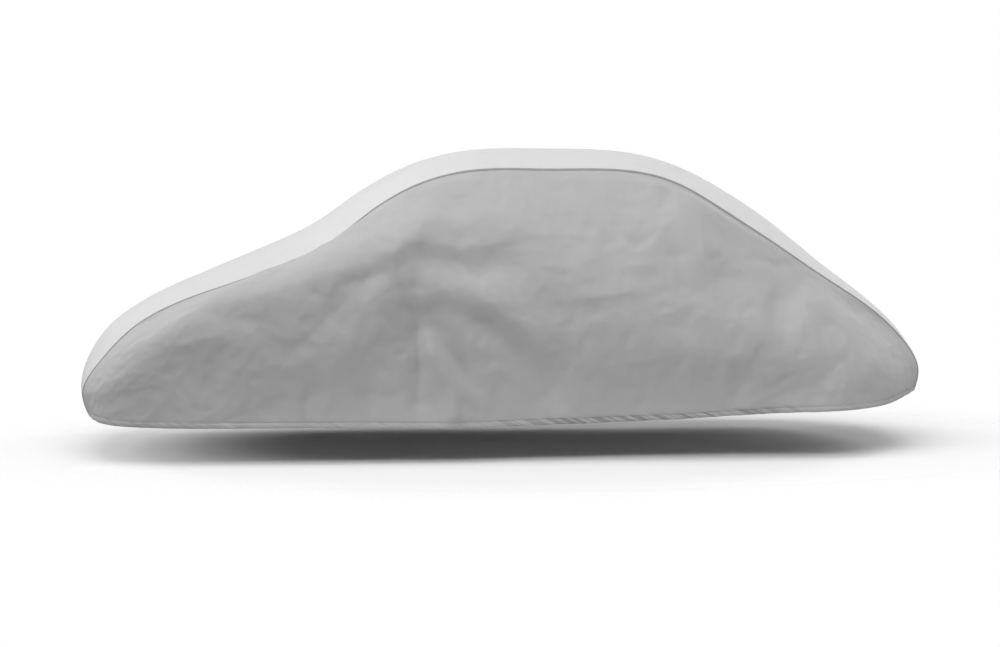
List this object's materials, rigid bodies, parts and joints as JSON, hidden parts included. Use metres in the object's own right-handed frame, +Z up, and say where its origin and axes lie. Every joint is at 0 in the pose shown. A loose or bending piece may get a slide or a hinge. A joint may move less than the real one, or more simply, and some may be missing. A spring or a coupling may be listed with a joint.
{
  "type": "car cover",
  "caption": "Fitted outdoor cloth cover for a small rounded saloon, with a pale centre strip, grey side panels, bound seams and elasticated turned hems.",
  "frame": {"origin": "on the inner face of the cloth at the highest point of the roof, where the cover rests on the car", "axes": "+X from the car's front to its rear, +Y to the car's right, +Z up"},
  "size_m": [3.9794, 1.5669, 1.2573],
  "materials": {
    "pale_cloth": "pale off-white non-woven cloth, matt",
    "grey_cloth": "mid-grey non-woven cloth, matt",
    "dark_tape": "darker grey woven binding tape"
  },
  "bodies": {
    "root": {"top_panel": "pale_cloth", "side_panel_left": "grey_cloth", "side_panel_right": "grey_cloth", "seam_binding_left": "dark_tape", "seam_binding_right": "dark_tape"}
  },
  "joints": []
}
